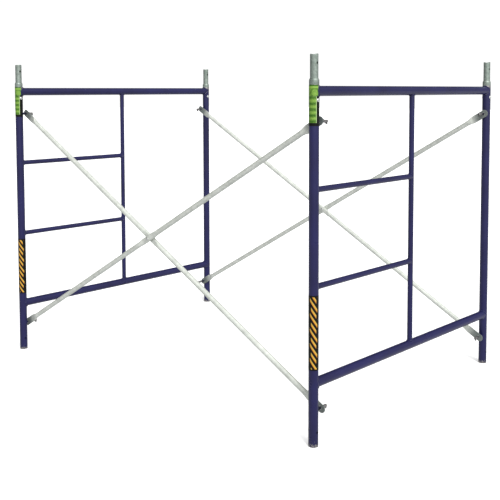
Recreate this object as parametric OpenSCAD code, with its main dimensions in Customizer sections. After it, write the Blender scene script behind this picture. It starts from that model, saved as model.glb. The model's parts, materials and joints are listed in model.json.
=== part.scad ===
// Frame scaffold section: two welded ladder frames held one bay apart by two X braces.
// Millimetres. +Z is up, X runs along the bay, Y runs across a frame.
// The origin is on the ground, at the middle of the four legs.

/* [Frame] */
// Height of a leg tube
leg_h = 1524; // [1220:1:1980]
// Distance between the two legs of a frame, centre to centre
frame_w = 1524; // [900:1:1830]
// Distance between the two frames, centre to centre
bay = 2133.6; // [1520:0.1:3050]
// Outside diameter of a leg tube
leg_od = 42.9; // [38:0.1:52]
// Wall of a leg tube
leg_wall = 2.4; // [2:0.1:3.2]
// Gap that each weld bridges between a coped tube end and its neighbour
weld_gap = 0.1; // [0.05:0.01:0.3]

/* [Bars and rungs] */
// Outside diameter of the top and bottom bars
bar_od = 42.9; // [36:0.1:52]
// Wall of the top and bottom bars
bar_wall = 2.4; // [2:0.1:3.2]
// Drop from the top of a leg to the top of the top bar
top_bar_drop = 5; // [2:0.5:60]
// Height of the bottom bar's centre line
bottom_bar_z = 270; // [210:1:340]
// Outside diameter of the rungs and the centre post
rung_od = 25.4; // [20:0.1:33.7]
// Wall of the rungs and the centre post
rung_wall = 2; // [1.6:0.1:2.6]

/* [Leg ends] */
// How much wider than the tube's bore the sized socket at the foot is, for a base plate's stem
socket_sizing = 0.5; // [0.2:0.1:1]
// Depth of the sized socket
socket_depth = 130; // [110:1:150]
// Diameter of the lock holes through legs and coupling pins
lock_hole_d = 11.1; // [8:0.1:13]
// Distance from a tube end or collar to its lock hole
lock_hole_inset = 63.5; // [45:0.5:80]

/* [Brace studs] */
// Distance from each leg end to its brace stud
stud_inset = 152.4; // [110:0.1:200]
// Diameter of a brace stud
stud_od = 12.7; // [11:0.1:14]
// Free stud between the outer brace tab and the latch's slot
tab_room = 5.2; // [3:0.1:14]
// Bevel round the stud's tip
stud_bevel = 1.2; // [0.5:0.1:2]

/* [Latches] */
// Thickness of a latch tongue
latch_t = 3.6; // [3:0.1:4.5]
// How far the edges of a flat latch lie inside the stud's round
latch_inset = 1.85; // [1:0.05:2.8]
// Pivot to the end of the nose that stops the brace
latch_nose = 14; // [11:0.1:16]
// Pivot to the end of the heavier tail
latch_tail = 22; // [18:0.1:24]
// Tilt of a hanging latch, which is also its travel
latch_tilt = 30; // [20:1:35]
// Diameter of the latch's cross pin
latch_pin_d = 4; // [3:0.1:5]
// Gap at each side of a latch in its slot
latch_gap = 0.3; // [0.2:0.05:0.6]
// Gap between the nose of a flat latch and the root of its slot
slot_clearance = 1.3; // [0.8:0.1:3]
// Reach of the latch's tail past the stud's tip
latch_overhang = 3.2; // [0:0.1:6]
// Radial clearance of the latch on its cross pin
latch_play = 0.05; // [0.02:0.01:0.1]

/* [Cross braces] */
// Outside diameter of a brace tube
brace_od = 25.4; // [22:0.1:28]
// Wall of a brace tube
brace_wall = 1.65; // [1.4:0.05:2.1]
// Width where a brace tube is pressed flat
brace_flat_w = 39; // [33:0.5:42]
// How much wider than the stud a brace's hole is
brace_hole_play = 1.6; // [0.8:0.1:3]
// Hole to the end of the pressed tab
brace_tab_end = 25; // [20:0.5:30]
// Hole to the start of the round tube's flare
brace_tab_len = 65; // [50:1:90]
// Length of the flare between flat and round
brace_flare = 40; // [30:1:60]
// Pressed length left at the crossing beyond the corner where the bars stop covering each other
crossing_margin = 4.3; // [2:0.1:20]
// Distance from a leg's side to the mid plane of the nearer bar
brace_gap = 9.55; // [7:0.05:16]
// Thickness that a brace tube is pressed to at the crossing
brace_mid_t = 16.5; // [12:0.5:20]
// Diameter of the rivet at the crossing
brace_rivet_d = 9.5; // [8:0.1:11]
// Thickness of the washer between the crossing bars
brace_washer_t = 1.5; // [1.2:0.1:2.5]
// How far the washer's rim lies inside the width of the pressed tube
washer_margin = 2.5; // [1:0.5:5]
// Diameter of the drain hole near each end of a brace tube
drain_d = 6; // [4:0.5:8]
// Distance from the round tube's end to its drain hole
drain_inset = 12; // [8:1:30]

/* [Coupling pins] */
// How much narrower than the leg's bore a coupling pin is
coupler_play = 3.2; // [0.8:0.1:5]
// Wall of a coupling pin
coupler_wall = 2.6; // [2:0.1:4]
// Length of a coupling pin above its collar, and again below it
coupler_arm = 101.6; // [90:0.1:130]
// Height of the collar
collar_h = 25.4; // [12:0.1:40]
// Depth of the seat rolled round a coupling pin, which the collar is pressed into
collar_seat = 0.2; // [0.1:0.05:0.4]
// Height of the tapered shoulder on the collar
collar_taper = 7; // [3:0.5:10]
// Width of the flat rim on top of the collar
collar_rim = 0.8; // [0.5:0.1:2]
// Depth of the notch pressed into each end of a coupling pin
coupler_notch = 6; // [3:0.5:10]
// How much thinner than its hole the rivet of a coupling pin is
rivet_play = 0.5; // [0.2:0.1:1]
// Diameter of a rivet head
rivet_head_d = 17; // [14:0.5:19]
// Height of a rivet head
rivet_head_h = 4; // [2.5:0.1:5]
// How much smaller than its head a coupling pin rivet's tail is
rivet_tail_step = 3; // [0:0.5:5]

/* [Labels] */
// Thickness of a wrapped label
label_t = 0.4; // [0.2:0.05:0.6]
// Width of the upright green label round the leg
green_label_w = 50.8; // [40:0.1:56]
// Length of the upright green label
green_label_len = 169; // [120:1:190]
// Bare paint between the green label's wide head and the rivet head below it
green_head_gap = 8; // [2:0.5:20]
// Bare paint left between two films, and between a film and the leg's end
label_edge_gap = 1; // [0.5:0.1:3]
// Bare paint between the bottom bar and the dark band label
band_low_gap = 38.5; // [20:0.5:80]
// Bare paint between the dark band label and the lower rung
band_high_gap = 18.5; // [12:0.5:60]

/* [Hidden] */
$fn = 64;
hull_fn = 32;
through = 4;
leg_r = leg_od / 2;
bar_r = bar_od / 2;
rung_r = rung_od / 2;
leg_bore = leg_od - 2 * leg_wall;
socket_d = leg_bore + socket_sizing;
left_x = -bay / 2;
right_x = bay / 2;
near_y = -frame_w / 2;
far_y = frame_w / 2;
top_bar_z = leg_h - top_bar_drop - bar_r;
rung_spaces = 3;
rung_pitch = (top_bar_z - bottom_bar_z) / rung_spaces;
lower_rung_z = bottom_bar_z + rung_pitch;
upper_rung_z = lower_rung_z + rung_pitch;
lower_stud_z = stud_inset;
upper_stud_z = leg_h - stud_inset;
// A pressed tab is both walls thick, with a seam between them.
seam = 0.1;
tab_t = 2 * brace_wall + seam;
// At the crossing a tube is pressed to an oval with the same outline length.
mid_w = brace_mid_t + (brace_od - brace_mid_t) * PI / 2;
bar_step = brace_mid_t + brace_washer_t;
brace_offset = leg_r + brace_gap;
brace_hole_d = stud_od + brace_hole_play;
stud_span = upper_stud_z - lower_stud_z;
brace_len = sqrt(bay * bay + stud_span * stud_span);
brace_angle = atan2(stud_span, bay);
brace_mid_flat = mid_w / 2 / sin(brace_angle) + crossing_margin;
// Along a stud: both brace tabs, the free room, the slot's root, the nose, the pivot, the tail.
slot_root = brace_offset + bar_step + tab_t / 2 + tab_room;
latch_pivot = slot_root + slot_clearance + latch_nose;
stud_reach = latch_pivot + latch_tail - latch_overhang;
latch_w = stud_od - 2 * latch_inset;
latch_r = latch_w / 2;
// How far a cross pin's ends lie inside the stud's round
cross_pin_sink = 0.4;
tube_start = brace_mid_flat + brace_flare;
tube_end = brace_len / 2 - brace_tab_len - brace_flare;
// How far each piece of a bar reaches into the next, and how thick the tube's closed ends are
lap = 0.5;
// How far inside a round or oval surface the end of a flare stays, so that none of its corners shows.
tuck = 0.2;
end_wall = 2;
// The bore through the crossing runs a little way into each tube's own bore.
mid_bore_half = tube_start + end_wall + lap;
coupler_od = leg_bore - coupler_play;
coupler_rivet_d = lock_hole_d - rivet_play;
seat_d = coupler_od - 2 * collar_seat;
// Bare seat left above the collar, so that what slides over the pin stops on the collar
seat_relief = 0.6;
collar_z = leg_h;
pin_foot_z = collar_z - coupler_arm;
pin_len = 2 * coupler_arm + collar_h;
// How far a cutter stands proud of what it cuts
proud = 0.5;
green_head_h = lock_hole_inset - rivet_head_d / 2 - green_head_gap - label_edge_gap;
band_label_z = bottom_bar_z + bar_r + band_low_gap;
band_label_len = lower_rung_z - rung_r - band_high_gap - band_label_z;
green_half_angle = green_label_w / 2 / leg_r * 180 / PI;
green_head_angle = 88;
band_angle = 344;
navy = [0.16, 0.15, 0.36];
zinc = [0.62, 0.66, 0.63];

// ---- helpers ----

// A solid rod along Y from y0 to y1 at height z.
module rod_y(x, y0, y1, z, d) {
    translate([x, y0, z]) rotate([-90, 0, 0]) cylinder(h = y1 - y0, d = d);
}

// A solid rod along X, centred on a point.
module rod_x(x, y, z, length, d) {
    translate([x - length / 2, y, z]) rotate([0, 90, 0]) cylinder(h = length, d = d);
}

// The space that a leg or post takes up, grown by the weld gap, for coping what meets it.
module upright_cope(x, y, d) {
    translate([x, y, -through]) cylinder(h = leg_h + 2 * through, d = d + 2 * weld_gap);
}

// A stud's own frame: +Y points along the stud, from the leg's centre line into the frame.
module at_stud(x, y, z) {
    translate([x, y, z]) mirror([0, y > 0 ? 1 : 0, 0]) children();
}

// A part of a ring round a leg, from angle a0 to a1, measured from the -Y face towards +X.
module leg_wrap(x, y, z, h, a0, a1, t) {
    translate([x, y, z]) rotate([0, 0, a0 - 90])
        rotate_extrude(angle = a1 - a0) translate([leg_r, 0]) square([t, h]);
}

// ---- welded frame ----

module leg(x, y) {
    color(navy) difference() {
        translate([x, y, 0]) cylinder(h = leg_h, d = leg_od);
        translate([x, y, -through]) cylinder(h = leg_h + 2 * through, d = leg_bore);
        translate([x, y, -through]) cylinder(h = socket_depth + through, d = socket_d);
        rod_x(x, y, lock_hole_inset, leg_od + 2 * through, lock_hole_d);
        rod_x(x, y, leg_h - lock_hole_inset, leg_od + 2 * through, lock_hole_d);
    }
}

// A bar that runs from leg to leg.
module cross_bar(x, z) {
    color(navy) difference() {
        rod_y(x, near_y, far_y, z, bar_od);
        rod_y(x, near_y - through, far_y + through, z, bar_od - 2 * bar_wall);
        upright_cope(x, near_y, leg_od);
        upright_cope(x, far_y, leg_od);
    }
}

// The post half-way along a frame, coped over both bars.
module center_post(x) {
    color(navy) difference() {
        translate([x, 0, bottom_bar_z]) cylinder(h = top_bar_z - bottom_bar_z, d = rung_od);
        translate([x, 0, bottom_bar_z - through])
            cylinder(h = top_bar_z - bottom_bar_z + 2 * through, d = rung_od - 2 * rung_wall);
        rod_y(x, -rung_od, rung_od, top_bar_z, bar_od + 2 * weld_gap);
        rod_y(x, -rung_od, rung_od, bottom_bar_z, bar_od + 2 * weld_gap);
    }
}

// A rung from the near leg to the centre post.
module rung(x, z) {
    color(navy) difference() {
        rod_y(x, near_y, 0, z, rung_od);
        rod_y(x, near_y - through, through, z, rung_od - 2 * rung_wall);
        upright_cope(x, near_y, leg_od);
        upright_cope(x, 0, rung_od);
    }
}

// ---- brace studs and their latches ----

// A stud with a bevelled tip, forked by the latch's slot and drilled for its cross pin.
module stud(x, y, z) {
    color(navy) difference() {
        at_stud(x, y, z) rotate([-90, 0, 0]) rotate_extrude() polygon([
            [0, 0],
            [stud_od / 2, 0],
            [stud_od / 2, stud_reach - stud_bevel],
            [stud_od / 2 - stud_bevel, stud_reach],
            [0, stud_reach]
        ]);
        upright_cope(x, y, leg_od);
        at_stud(x, y, z) translate([-latch_t / 2 - latch_gap, slot_root, -stud_od])
            cube([latch_t + 2 * latch_gap, stud_reach, 2 * stud_od]);
        at_stud(x, y, z) rod_x(0, latch_pivot, 0, 2 * stud_od, latch_pin_d);
    }
}

// A tongue with round ends. Its tail outweighs its nose, so it hangs with the nose up.
module latch(x, y, z) {
    color(zinc) at_stud(x, y, z) translate([0, latch_pivot, 0]) rotate([-latch_tilt, 0, 0])
        difference() {
            translate([-latch_t / 2, 0, 0]) rotate([90, 0, 90]) linear_extrude(latch_t) {
                translate([latch_r - latch_nose, 0]) circle(latch_r);
                translate([latch_tail - latch_r, 0]) circle(latch_r);
                translate([latch_r - latch_nose, -latch_r])
                    square([latch_nose + latch_tail - latch_w, latch_w]);
            }
            rod_x(0, 0, 0, 2 * latch_t, latch_pin_d + 2 * latch_play);
        }
}

module latch_cross_pins() {
    for (x = [left_x, right_x], y = [near_y, far_y], z = [lower_stud_z, upper_stud_z])
        color(zinc) at_stud(x, y, z) rod_x(0, latch_pivot, 0, stud_od - 2 * cross_pin_sink, latch_pin_d);
}

// ---- coupling pins ----

// A V across the end of a tube, with its valley along Y.
module end_notch() {
    rotate([90, 0, 0]) linear_extrude(2 * coupler_od, center = true) polygon([
        [0, -coupler_notch],
        [coupler_od / 2, proud],
        [-coupler_od / 2, proud]
    ]);
}

module coupling_pin(x, y) {
    color(zinc) translate([x, y, pin_foot_z]) difference() {
        cylinder(h = pin_len, d = coupler_od);
        translate([0, 0, -through]) cylinder(h = pin_len + 2 * through, d = coupler_od - 2 * coupler_wall);
        translate([0, 0, coupler_arm]) difference() {
            cylinder(h = collar_h + seat_relief, d = 2 * coupler_od);
            translate([0, 0, -through]) cylinder(h = collar_h + 2 * through, d = seat_d);
        }
        translate([0, 0, pin_len]) end_notch();
        mirror([0, 0, 1]) end_notch();
        rod_x(0, 0, coupler_arm - lock_hole_inset, 2 * coupler_od, lock_hole_d);
        rod_x(0, 0, pin_len - coupler_arm + lock_hole_inset, 2 * coupler_od, lock_hole_d);
    }
}

// The ring that stops a coupling pin on top of its leg.
module collar(x, y) {
    color(zinc) translate([x, y, collar_z]) rotate_extrude() polygon([
        [seat_d / 2, 0],
        [leg_r, 0],
        [leg_r, collar_h - collar_taper],
        [coupler_od / 2 + collar_rim, collar_h],
        [seat_d / 2, collar_h]
    ]);
}

// A rivet along +Z. The shank starts at z = 0, with the tail below it and a round head above.
module rivet(shank_d, shank_len, head_d, head_h, tail_d, tail_h) {
    dome = [for (a = [0:15:90]) [head_d / 2 * cos(a), shank_len + head_h * sin(a)]];
    tail = [for (a = [-90:30:0]) [tail_d / 2 * cos(a), tail_h * sin(a)]];
    rotate_extrude() polygon(concat(tail, [[shank_d / 2, 0], [shank_d / 2, shank_len]], dome));
}

// Each rivet lies along X through a leg and its coupling pin, with its head towards +X.
module coupling_pin_rivets() {
    for (x = [left_x, right_x], y = [near_y, far_y])
        color(zinc) translate([x - leg_r, y, leg_h - lock_hole_inset]) rotate([0, 90, 0])
            rivet(coupler_rivet_d, leg_od, rivet_head_d, rivet_head_h,
                rivet_head_d - rivet_tail_step, rivet_head_h / 2);
}

// ---- cross braces ----

// A disc inside the round tube, from u0 to u1, for a flare to end on.
module tube_slice(u0, u1) {
    translate([u0, 0, 0]) rotate([0, 90, 0]) cylinder(h = u1 - u0, d = brace_od - 2 * tuck, $fn = hull_fn);
}

// The oval that a tube is pressed to at the crossing, from u0 to u1 along X.
module mid_oval(u0, u1, sides, inset = 0) {
    flank = mid_w - brace_mid_t;
    thick = brace_mid_t - 2 * inset;
    translate([u0, 0, 0]) rotate([90, 0, 90]) linear_extrude(u1 - u0) {
        square([thick, flank], center = true);
        translate([0, flank / 2]) circle(d = thick, $fn = sides);
        translate([0, -flank / 2]) circle(d = thick, $fn = sides);
    }
}

// The flare from a flat tab at u0 to the round tube that ends at u1, along X.
module tab_flare(u0, u1) {
    hull() {
        translate([u0 - lap, -tab_t / 2, -brace_flat_w / 2]) cube([2 * lap, tab_t, brace_flat_w]);
        tube_slice(u1 - 2 * lap, u1 - lap);
    }
}

// The flare from the oval at the crossing to the round tube.
module mid_flare() {
    hull() {
        mid_oval(brace_mid_flat, brace_mid_flat + lap / 2, hull_fn, tuck);
        tube_slice(tube_start + lap, tube_start + 2 * lap);
    }
}

// A flat tab with a round end, from the flare out past the stud hole.
module end_tab() {
    hole_u = brace_len / 2;
    rotate([90, 0, 0]) linear_extrude(tab_t, center = true) {
        translate([hole_u - brace_tab_len - lap, -brace_flat_w / 2])
            square([brace_tab_len + lap + brace_tab_end - brace_flat_w / 2, brace_flat_w]);
        translate([hole_u + brace_tab_end - brace_flat_w / 2, 0]) circle(d = brace_flat_w);
    }
}

// Half of a bar, along +X from the crossing.
module half_bar() {
    mid_flare();
    translate([tube_start, 0, 0]) rotate([0, 90, 0]) cylinder(h = tube_end - tube_start, d = brace_od);
    tab_flare(brace_len / 2 - brace_tab_len, tube_end);
    end_tab();
}

// What is cut out of half a bar: the tube's bore, its drain holes and the stud hole.
module half_bar_cuts() {
    translate([tube_start + end_wall, 0, 0]) rotate([0, 90, 0])
        cylinder(h = tube_end - tube_start - 2 * end_wall, d = brace_od - 2 * brace_wall);
    for (u = [tube_start + drain_inset, tube_end - drain_inset])
        translate([u, 0, 0]) rotate([0, 180, 0]) cylinder(h = brace_od, d = drain_d);
    translate([brace_len / 2, 0, 0]) rotate([90, 0, 0])
        cylinder(h = 4 * tab_t, d = brace_hole_d, center = true);
}

// A bar across the bay. side is -1 for the near legs and 1 for the far ones,
// step is 0 for the bar next to the legs and 1 for the one behind it.
module brace(side, step, angle) {
    color(zinc) translate([0, side * (frame_w / 2 - brace_offset - step * bar_step), leg_h / 2])
        rotate([0, -angle, 0]) difference() {
            union() {
                half_bar();
                mirror([1, 0, 0]) half_bar();
                mid_oval(-brace_mid_flat - lap, brace_mid_flat + lap, $fn);
            }
            half_bar_cuts();
            mirror([1, 0, 0]) half_bar_cuts();
            // Through the crossing the bore is as wide as the pressed tube leaves it.
            rotate([0, 90, 0])
                cylinder(h = 2 * mid_bore_half, d = brace_mid_t - 2 * brace_wall, center = true);
            rotate([90, 0, 0]) cylinder(h = 2 * brace_mid_t, d = brace_rivet_d, center = true);
        }
}

// The rivet at a crossing, with a round head on each side.
module brace_rivet(side) {
    stack = 2 * brace_mid_t + brace_washer_t;
    color(zinc) translate([0, side * (frame_w / 2 - brace_offset - bar_step / 2), leg_h / 2])
        rotate([90, 0, 0]) translate([0, 0, -stack / 2])
            rivet(brace_rivet_d, stack, rivet_head_d, rivet_head_h, rivet_head_d, rivet_head_h);
}

module brace_washer(side) {
    color(zinc) translate([0, side * (frame_w / 2 - brace_offset - bar_step / 2), leg_h / 2])
        rotate([90, 0, 0]) difference() {
            cylinder(h = brace_washer_t, d = mid_w - 2 * washer_margin, center = true);
            cylinder(h = 2 * brace_washer_t, d = brace_rivet_d, center = true);
        }
}

// ---- labels ----

// Two films on a near leg: an upright strip, and above it a head that reaches round towards +X.
module green_label(x) {
    top = leg_h - label_edge_gap;
    strip_h = green_label_len - green_head_h - label_edge_gap;
    color("yellowgreen") {
        leg_wrap(x, near_y, top - green_label_len, strip_h, -green_half_angle, green_half_angle, label_t);
        leg_wrap(x, near_y, top - green_head_h, green_head_h, -green_half_angle, green_head_angle, label_t);
    }
}

// A dark band round the foot of a near leg, between the bottom bar and the lower rung.
module band_label(x) {
    color([0.08, 0.08, 0.08])
        leg_wrap(x, near_y, band_label_z, band_label_len, -band_angle / 2, band_angle / 2, label_t);
}

// ---- placing ----

leg(left_x, near_y);  // left_near_leg
leg(left_x, far_y);  // left_far_leg
cross_bar(left_x, top_bar_z);  // left_top_bar
cross_bar(left_x, bottom_bar_z);  // left_bottom_bar
center_post(left_x);  // left_center_post
rung(left_x, upper_rung_z);  // left_upper_rung
rung(left_x, lower_rung_z);  // left_lower_rung
leg(right_x, near_y);  // right_near_leg
leg(right_x, far_y);  // right_far_leg
cross_bar(right_x, top_bar_z);  // right_top_bar
cross_bar(right_x, bottom_bar_z);  // right_bottom_bar
center_post(right_x);  // right_center_post
rung(right_x, upper_rung_z);  // right_upper_rung
rung(right_x, lower_rung_z);  // right_lower_rung
stud(left_x, near_y, upper_stud_z);  // left_near_upper_stud
stud(left_x, near_y, lower_stud_z);  // left_near_lower_stud
stud(left_x, far_y, upper_stud_z);  // left_far_upper_stud
stud(left_x, far_y, lower_stud_z);  // left_far_lower_stud
stud(right_x, near_y, upper_stud_z);  // right_near_upper_stud
stud(right_x, near_y, lower_stud_z);  // right_near_lower_stud
stud(right_x, far_y, upper_stud_z);  // right_far_upper_stud
stud(right_x, far_y, lower_stud_z);  // right_far_lower_stud
latch(left_x, near_y, upper_stud_z);  // left_near_upper_latch
latch(left_x, near_y, lower_stud_z);  // left_near_lower_latch
latch(left_x, far_y, upper_stud_z);  // left_far_upper_latch
latch(left_x, far_y, lower_stud_z);  // left_far_lower_latch
latch(right_x, near_y, upper_stud_z);  // right_near_upper_latch
latch(right_x, near_y, lower_stud_z);  // right_near_lower_latch
latch(right_x, far_y, upper_stud_z);  // right_far_upper_latch
latch(right_x, far_y, lower_stud_z);  // right_far_lower_latch
latch_cross_pins();
coupling_pin(left_x, near_y);  // left_near_coupling_pin
coupling_pin(left_x, far_y);  // left_far_coupling_pin
coupling_pin(right_x, near_y);  // right_near_coupling_pin
coupling_pin(right_x, far_y);  // right_far_coupling_pin
collar(left_x, near_y);  // left_near_collar
collar(left_x, far_y);  // left_far_collar
collar(right_x, near_y);  // right_near_collar
collar(right_x, far_y);  // right_far_collar
coupling_pin_rivets();
brace(-1, 0, brace_angle);  // near_rising_brace
brace(-1, 1, -brace_angle);  // near_falling_brace
brace(1, 0, brace_angle);  // far_rising_brace
brace(1, 1, -brace_angle);  // far_falling_brace
brace_rivet(-1);  // near_brace_rivet
brace_rivet(1);  // far_brace_rivet
brace_washer(-1);  // near_brace_washer
brace_washer(1);  // far_brace_washer
green_label(left_x);  // left_green_label
green_label(right_x);  // right_green_label
band_label(left_x);  // left_band_label
band_label(right_x);  // right_band_label
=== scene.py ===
# %% [markdown]
# # A frame scaffold section, piece by piece
#
# Two welded ladder frames stand one bay apart, and two X braces of galvanized tube hold them. Each
# cell makes one kind of piece as a surface worked out with numpy, gives it a finish, and lets it
# ride on its body.

# %% Load the frame
import json
import math

import bmesh
import bpy
import numpy as np
from mathutils import Matrix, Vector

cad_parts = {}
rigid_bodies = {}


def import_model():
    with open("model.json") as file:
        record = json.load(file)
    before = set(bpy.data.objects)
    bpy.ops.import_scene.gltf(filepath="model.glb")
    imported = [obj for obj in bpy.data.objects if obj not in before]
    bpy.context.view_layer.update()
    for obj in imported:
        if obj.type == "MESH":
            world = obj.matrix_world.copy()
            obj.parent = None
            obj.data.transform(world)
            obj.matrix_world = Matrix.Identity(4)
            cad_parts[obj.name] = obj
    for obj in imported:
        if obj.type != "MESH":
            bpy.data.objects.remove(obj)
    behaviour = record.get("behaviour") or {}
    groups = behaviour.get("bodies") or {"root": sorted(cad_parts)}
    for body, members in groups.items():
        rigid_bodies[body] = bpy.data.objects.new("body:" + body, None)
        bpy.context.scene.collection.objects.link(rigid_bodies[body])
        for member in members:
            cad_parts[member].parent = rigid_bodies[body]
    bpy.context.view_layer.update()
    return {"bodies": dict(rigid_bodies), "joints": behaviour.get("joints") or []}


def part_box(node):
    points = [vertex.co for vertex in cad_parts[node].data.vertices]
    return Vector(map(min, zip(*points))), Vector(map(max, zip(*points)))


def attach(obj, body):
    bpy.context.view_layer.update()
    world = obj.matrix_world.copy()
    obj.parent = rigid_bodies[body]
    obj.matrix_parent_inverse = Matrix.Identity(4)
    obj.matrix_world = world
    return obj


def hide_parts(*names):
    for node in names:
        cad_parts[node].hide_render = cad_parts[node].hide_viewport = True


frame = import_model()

MM = 0.001
X, Y, Z = np.eye(3)


# %% [markdown]
# ## Measures
#
# A scaffold frame is laid out from few sizes: where the legs stand, how high the bars sit and how
# thick each tube is. They could be typed in again, but are read off the boxes of the CAD nodes, so
# a changed frame changes the scene.

# %% Measures taken from the frame
def middle(node):
    """The centre of a CAD node's box."""
    low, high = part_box(node)
    return np.array((low + high) / 2)


def extent(node):
    """The three sides of a CAD node's box."""
    low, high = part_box(node)
    return np.array(high - low)


SIDES = ("left", "right")
ROWS = ("near", "far")
LEVELS = ("lower", "upper")
CORNERS = [(side, row) for side in SIDES for row in ROWS]
PLACES = [(side, row, level) for side, row in CORNERS for level in LEVELS]
LEG_R = extent("left_near_leg")[0] / 2
LEG_H = extent("left_near_leg")[2]
BAR_R = extent("left_top_bar")[2] / 2
RUNG_R = extent("left_upper_rung")[2] / 2
STUD_R = extent("left_near_upper_stud")[2] / 2
COUPLER_R = extent("left_near_coupling_pin")[0] / 2
BRACE_R = extent("near_rising_brace")[1] / 2
COLLAR_H = extent("left_near_collar")[2]
COUPLER_L = extent("left_near_coupling_pin")[2]
SIDE_X = {side: middle(f"{side}_near_leg")[0] for side in SIDES}
ROW_Y = {row: middle(f"left_{row}_leg")[1] for row in ROWS}
INWARD = {"near": 1.0, "far": -1.0}
BAR_Z = {level: middle(f"left_{name}_bar")[2] for level, name in zip(LEVELS, ("bottom", "top"))}
RUNG_Z = {level: middle(f"left_{level}_rung")[2] for level in LEVELS}
STUD_Z = {level: middle(f"left_near_{level}_stud")[2] for level in LEVELS}
print("legs", SIDE_X, ROW_Y, "bars", BAR_Z, "rungs", RUNG_Z, "studs", STUD_Z)


# %% [markdown]
# ## From grids of points to a mesh
#
# Every piece is one or more grids of points, worked out as whole arrays. A grid may close on
# itself both ways: round a tube, and along a profile that runs up the outer wall and back down the
# bore. Points that fall together are merged, and the faces are turned outwards. A second array
# says how worn each point is, from 0 to 1.

# %% The mesh maker
SMOOTH_BELOW = math.radians(38)


def quads_of(rows, columns, wrap_rows, wrap_columns):
    """Indices of the four corners of each cell of a grid, as an array of shape (cells, 4)."""
    i = np.arange(rows if wrap_rows else rows - 1)[:, None]
    j = np.arange(columns if wrap_columns else columns - 1)[None, :]
    i_next, j_next = (i + 1) % rows, (j + 1) % columns
    corners = [i * columns + j, i_next * columns + j, i_next * columns + j_next, i * columns + j_next]
    return np.stack(corners, axis=-1).reshape(-1, 4)


def mesh_of(name, grids, uv=False):
    """A mesh from grids of (points, worn, wrap_rows, wrap_columns), with a UV map if asked."""
    points = [np.asarray(g[0], float).reshape(-1, 3) for g in grids]
    starts = np.cumsum([0] + [len(p) for p in points])
    quads = [quads_of(*g[0].shape[:2], g[2], g[3]) + start for g, start in zip(grids, starts)]
    mesh = bpy.data.meshes.new(name)
    mesh.from_pydata(np.concatenate(points).tolist(), [], np.concatenate(quads).tolist())
    worn = np.concatenate([np.broadcast_to(g[1], g[0].shape[:2]).ravel() for g in grids])
    mesh.attributes.new("worn", "FLOAT", "POINT").data.foreach_set("value", worn.astype(np.float32))
    if uv:
        u, v = np.meshgrid(*[np.linspace(0, 1, n) for n in grids[0][0].shape[:2]], indexing="ij")
        flat = np.stack([u, v], axis=-1).reshape(-1, 2)
        corner = np.zeros(len(mesh.loops), np.int32)
        mesh.loops.foreach_get("vertex_index", corner)
        layer = mesh.uv_layers.new(name="UVMap")
        layer.data.foreach_set("uv", flat[np.minimum(corner, len(flat) - 1)].astype(np.float32).ravel())
    work = bmesh.new()
    work.from_mesh(mesh)
    bmesh.ops.remove_doubles(work, verts=work.verts, dist=2e-6)
    bmesh.ops.dissolve_degenerate(work, edges=work.edges, dist=1e-7)
    bmesh.ops.recalc_face_normals(work, faces=work.faces)
    work.to_mesh(mesh)
    work.free()
    mesh.polygons.foreach_set("use_smooth", np.ones(len(mesh.polygons), bool))
    mesh.set_sharp_from_angle(angle=SMOOTH_BELOW)
    return mesh


def add_object(name, data):
    """Puts a mesh, a lamp or a camera into the scene."""
    item = bpy.data.objects.new(name, data)
    bpy.context.scene.collection.objects.link(item)
    return item


def make_piece(name, grids, finish, nodes=(), body="root", uv=False):
    """A finished piece from grids, riding on a body and standing for its CAD nodes."""
    piece = add_object(name, mesh_of(name, grids, uv))
    piece.data.materials.append(finish)
    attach(piece, body)
    for node in nodes:
        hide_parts(node)
    return piece


def report(what, pieces):
    """One line that says what a cell made."""
    faces = sum(len(p.data.polygons) for p in pieces)
    print(f"{what}: {len(pieces)} pieces, {faces} faces")


# %% [markdown]
# ## Round things: a profile turned about an axis
#
# Collars, rivets, pins and plain tubes are all turned shapes. A profile is a list of
# (radius, height) corners. Real corners are never knife sharp. A Bevel modifier could round them
# later, but here a small curve replaces each corner: between two points a set distance before and
# after it, (1-t)^2 times the first, 2t(1-t) times the corner, and t^2 times the second.

# %% Profiles and turning
def rounded(corners, radius, steps=4, closed=False):
    """Replaces each corner of a polyline by a small curve. Straight runs stay straight."""
    corners = np.asarray(corners, float)
    if closed:
        before, kept, after = np.roll(corners, 1, axis=0), corners, np.roll(corners, -1, axis=0)
    else:
        before, kept, after = corners[:-2], corners[1:-1], corners[2:]
    t = np.linspace(0, 1, steps + 1)[None, :, None]
    to_before, to_after = before - kept, after - kept
    len_before = np.linalg.norm(to_before, axis=1, keepdims=True)
    len_after = np.linalg.norm(to_after, axis=1, keepdims=True)
    reach = np.minimum(radius, 0.45 * np.minimum(len_before, len_after))
    first = (kept + to_before / len_before * reach)[:, None]
    last = (kept + to_after / len_after * reach)[:, None]
    curve = (1 - t) ** 2 * first + 2 * t * (1 - t) * kept[:, None] + t**2 * last
    curve = curve.reshape(-1, 2)
    return curve if closed else np.concatenate([corners[:1], curve, corners[-1:]])


def axes_for(direction):
    """Two unit directions across a given one."""
    w = np.asarray(direction, float)
    u = np.cross(Z if abs(w[2]) < 0.9 else X, w)
    u /= np.linalg.norm(u)
    return u, np.cross(w, u), w


def circle(count):
    """Angles round a circle, as a column."""
    return np.linspace(0, 2 * np.pi, count, endpoint=False)[:, None]


def turned(profile, foot, direction=Z, around=64, lift=None):
    """Turns (radius, height) about an axis: the point is foot + r cos a u + r sin a v + h w.
    lift(angle, height) gives the height to use instead, for notched or cut ends."""
    u, v, w = axes_for(direction)
    a = circle(around)
    r, h = profile[:, 0][None], np.broadcast_to(profile[:, 1], (around, len(profile)))
    if lift is not None:
        h = lift(a, r, h)
    flat = (r * np.cos(a))[..., None] * u + (r * np.sin(a))[..., None] * v
    return np.asarray(foot) + flat + h[..., None] * w


def along(start, stop, count):
    """Evenly spaced stations from start to stop, with both ends."""
    return np.linspace(start, stop, count)


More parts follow.
